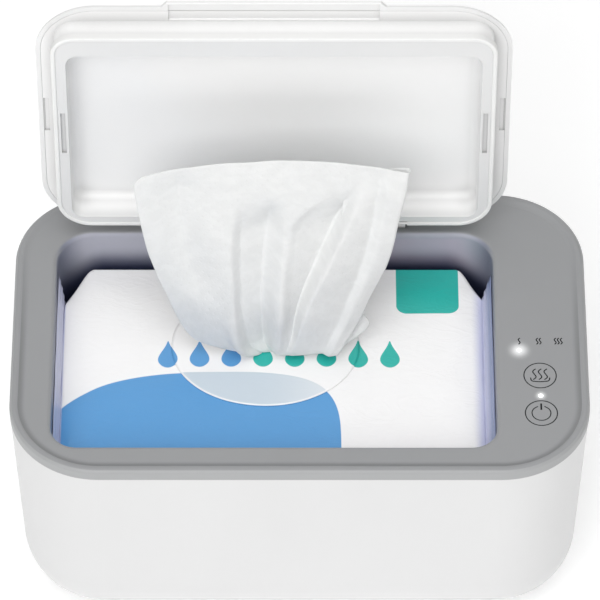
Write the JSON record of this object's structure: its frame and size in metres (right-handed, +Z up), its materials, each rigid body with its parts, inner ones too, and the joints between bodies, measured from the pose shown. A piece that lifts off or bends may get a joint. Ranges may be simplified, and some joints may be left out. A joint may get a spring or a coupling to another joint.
{
  "type": "baby wipe warmer",
  "caption": "Heated box for a pack of baby wipes: white tapered tub, grey deck with a touch control land beside the mouth, and a hinged white lid with a sealed plug.",
  "frame": {"origin": "centre of the footprint, on the surface that it stands on", "axes": "+Z up, +Y to the hinge at the back, +X to the control land"},
  "size_m": [0.2664, 0.17, 0.269],
  "materials": {
    "white_shell": "satin",
    "white_liner": "satin",
    "grey_deck": "matte",
    "tank_grey": "satin",
    "white_silicone": "matte",
    "black_rubber": "matte",
    "steel": "satin",
    "heater_film": "gloss",
    "foam": "matte",
    "circuit_board": "satin",
    "clear_guide": "gloss",
    "black_plastic": "satin",
    "brass": "satin",
    "pack_film": "gloss",
    "flap_film": "gloss",
    "wipe_cloth": "matte"
  },
  "bodies": {
    "base": {"outer_body": "white_shell", "rubber_feet": "black_rubber", "body_screws": "steel", "deck": "grey_deck", "inner_tank": "tank_grey", "deck_screws": "steel", "heating_belt": "heater_film", "heating_plate": "heater_film", "insulation_jacket": "foam", "temperature_sensor": "black_plastic", "thermal_fuse": "brass", "control_board": "circuit_board", "board_screws": "steel", "indicator_leds": "clear_guide", "light_guides": "clear_guide", "touch_pads": "black_rubber", "power_inlet": "black_plastic", "inlet_nut": "brass", "hinge_pins": "steel", "wipes_pack": "pack_film", "pack_flap": "flap_film", "pulled_wipe": "wipe_cloth"},
    "lid": {"lid_cover": "white_shell", "lid_liner": "white_liner", "lid_seal": "white_silicone"}
  },
  "joints": [
    {"name": "lid_hinge", "type": "hinge", "parent": "base", "child": "lid", "pos_m": [-0.0117, 0.069, 0.122], "axis": [1, 0, 0], "range_deg": [0, 90], "deforming": ["pulled_wipe"]}
  ]
}
